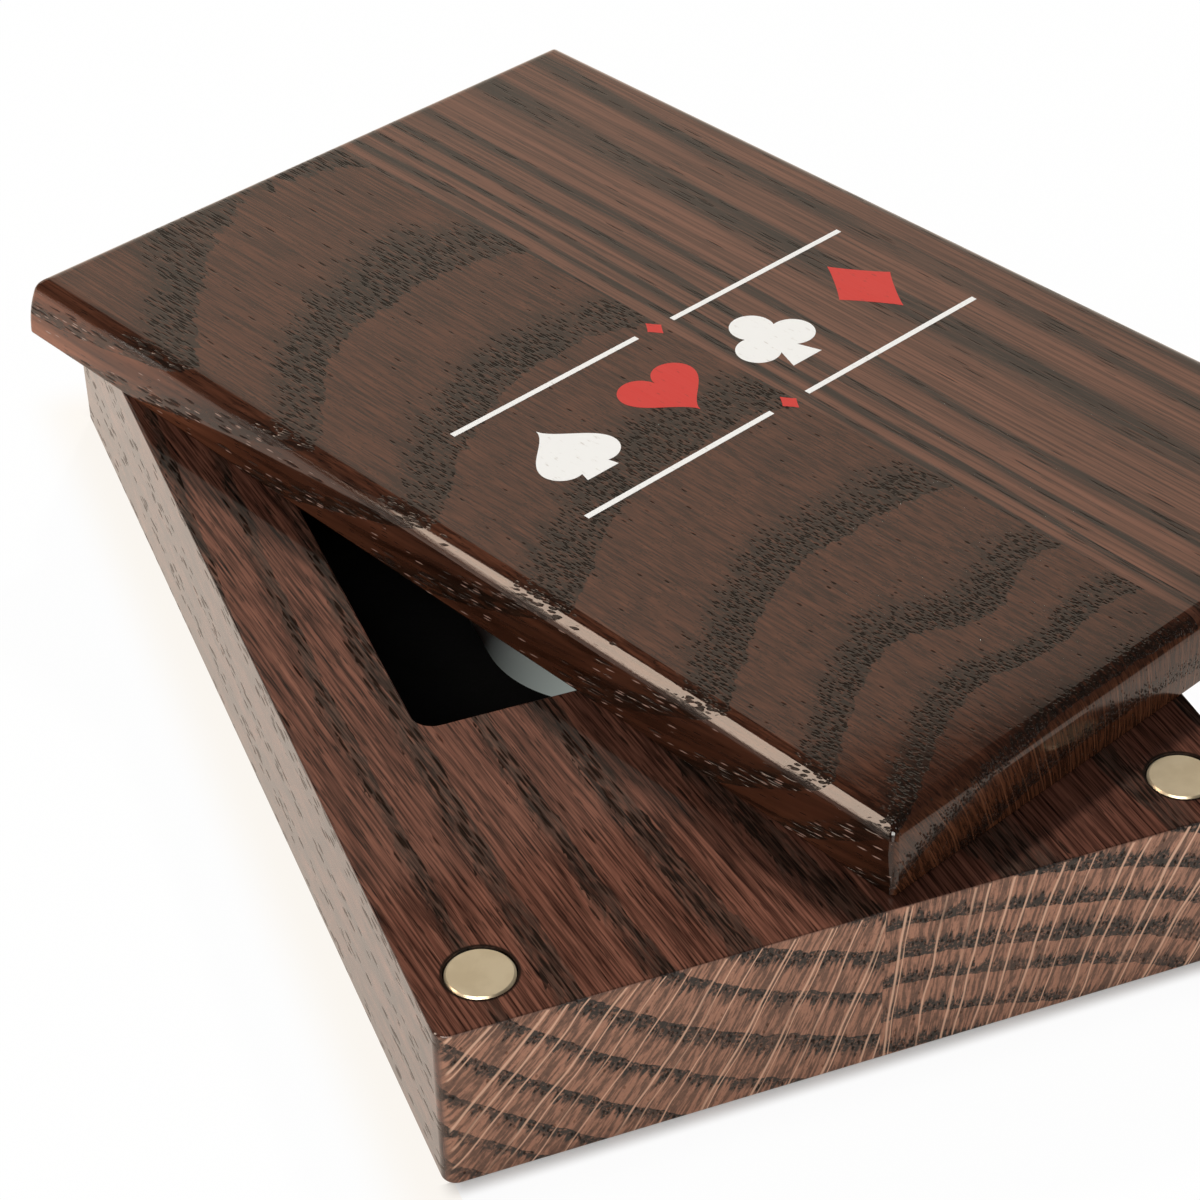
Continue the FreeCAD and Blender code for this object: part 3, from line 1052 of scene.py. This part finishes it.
def strip_light(name, seen_from, distance, across, along, brightness):
    """A long lamp that leans back on the left as seen from one place, and shows in first reflections alone.

    It lies across the line of sight STRIP_SIGHT, its length along STRIP_RISE, and across and along give
    the tangents of the angles to its edges.
    """
    sight, rise = Vector(STRIP_SIGHT).normalized(), Vector(STRIP_RISE).normalized()
    over = sight.cross(rise)
    centre = Vector(seen_from) + distance * (sight + over * sum(across) / 2 + rise * sum(along) / 2)
    size = (distance * (across[1] - across[0]), distance * (along[1] - along[0]))
    thing = soft_panel(name, centre, centre - sight, size, brightness, STRIP_WHITE, diffuse=False)
    thing.data.use_nodes = True
    g = Graph(thing.data.node_tree)
    emission = next(n for n in g.tree.nodes if n.type == "EMISSION")
    depth = g.node("LightPath", out="Ray Depth")
    g.tree.links.new(g.math("LESS_THAN", depth, STRIP_LAST_BOUNCE), emission.inputs["Strength"])
    columns = Matrix((-over, rise, sight)).transposed().to_4x4()
    thing.matrix_world = Matrix.Translation(centre) @ columns


def key_lamp():
    """A small distant lamp behind on the right that throws the soft-edged shadows."""
    key = bpy.data.lights.new("key", "SUN")
    key.energy = KEY_POWER
    key.angle = KEY_ANGLE
    key.color = KEY_WHITE
    thing = bpy.data.objects.new("key", key)
    bpy.context.scene.collection.objects.link(thing)
    aimed(thing, KEY_WAY, (0.0, 0.0, 0.0))
    thing.visible_glossy = False


def lamps():
    """A key lamp, a pale wall behind, a slanted strip, a fill and a glint on the left, and a front fill."""
    key_lamp()
    soft_panel(
        "pale_wall",
        place=(0.8, 3.0, 1.46),
        target=(0.8, 0.0, 1.46),
        size=(5.0, 2.9),
        brightness=0.68,
        colour=WALL_WHITE,
    )
    strip_light(
        "left_strip",
        seen_from=(0.0, -0.03, 0.025),
        distance=6.0,
        across=(-0.20, 0.025),
        along=(-0.40, 0.55),
        brightness=9.5,
    )
    soft_panel(
        "left_fill",
        place=(-0.9, 0.1, 0.3),
        target=BOX_MIDDLE,
        size=(0.6, 0.5),
        brightness=2.0,
        glossy=False,
    )
    soft_panel(
        "left_glint",
        place=(-0.62, -0.92, 1.02),
        target=(-0.03, -0.05, 0.02),
        size=(1.2, 0.45),
        brightness=12.0,
        diffuse=False,
    )
    soft_panel("front_fill", place=(-0.8, -1.2, 0.55), target=BOX_MIDDLE, size=(1.0, 0.8), brightness=1.8)


def world():
    """A dim grey room, darker in reflections, that shows white to the eye."""
    room = bpy.data.worlds.new("room")
    bpy.context.scene.world = room
    room.use_nodes = True
    g = Graph(room.node_tree)
    background = next(n for n in g.tree.nodes if n.type == "BACKGROUND")
    path = g.tree.nodes.new("ShaderNodeLightPath").outputs
    strength = g.mix_values(path["Is Glossy Ray"], ROOM_LIGHT, ROOM_REFLECTED)
    strength = g.mix_values(path["Is Camera Ray"], strength, 1.0)
    background.inputs["Color"].default_value = (1.0, 1.0, 1.0, 1.0)
    g.tree.links.new(strength, background.inputs["Strength"])


def camera():
    """The camera, near the front left corner and looking down over the box."""
    lens = bpy.data.cameras.new("camera")
    lens.sensor_width = CAMERA_SENSOR
    lens.lens = CAMERA_LENS
    lens.clip_start = 0.01
    thing = bpy.data.objects.new("camera", lens)
    bpy.context.scene.collection.objects.link(thing)
    aimed(thing, CAMERA_PLACE, CAMERA_TARGET, roll=CAMERA_ROLL)
    bpy.context.scene.camera = thing


# ---------------------------------------------------------------- the whole
materials = {name: wood(f"{name}_wood", board, bore_mouths(name)) for name, board in WOODS.items()}
nickel_plate, black_felt = nickel(), felt()
for node_name, node in nodes.items():
    if node_name in materials:
        finish = materials[node_name]
    else:
        finish = nickel_plate if "magnet" in node_name else black_felt
    for slot in node.material_slots:
        slot.material = finish
print_pips()
floor()
lamps()
world()
camera()
bpy.context.scene.view_settings.view_transform = "Standard"
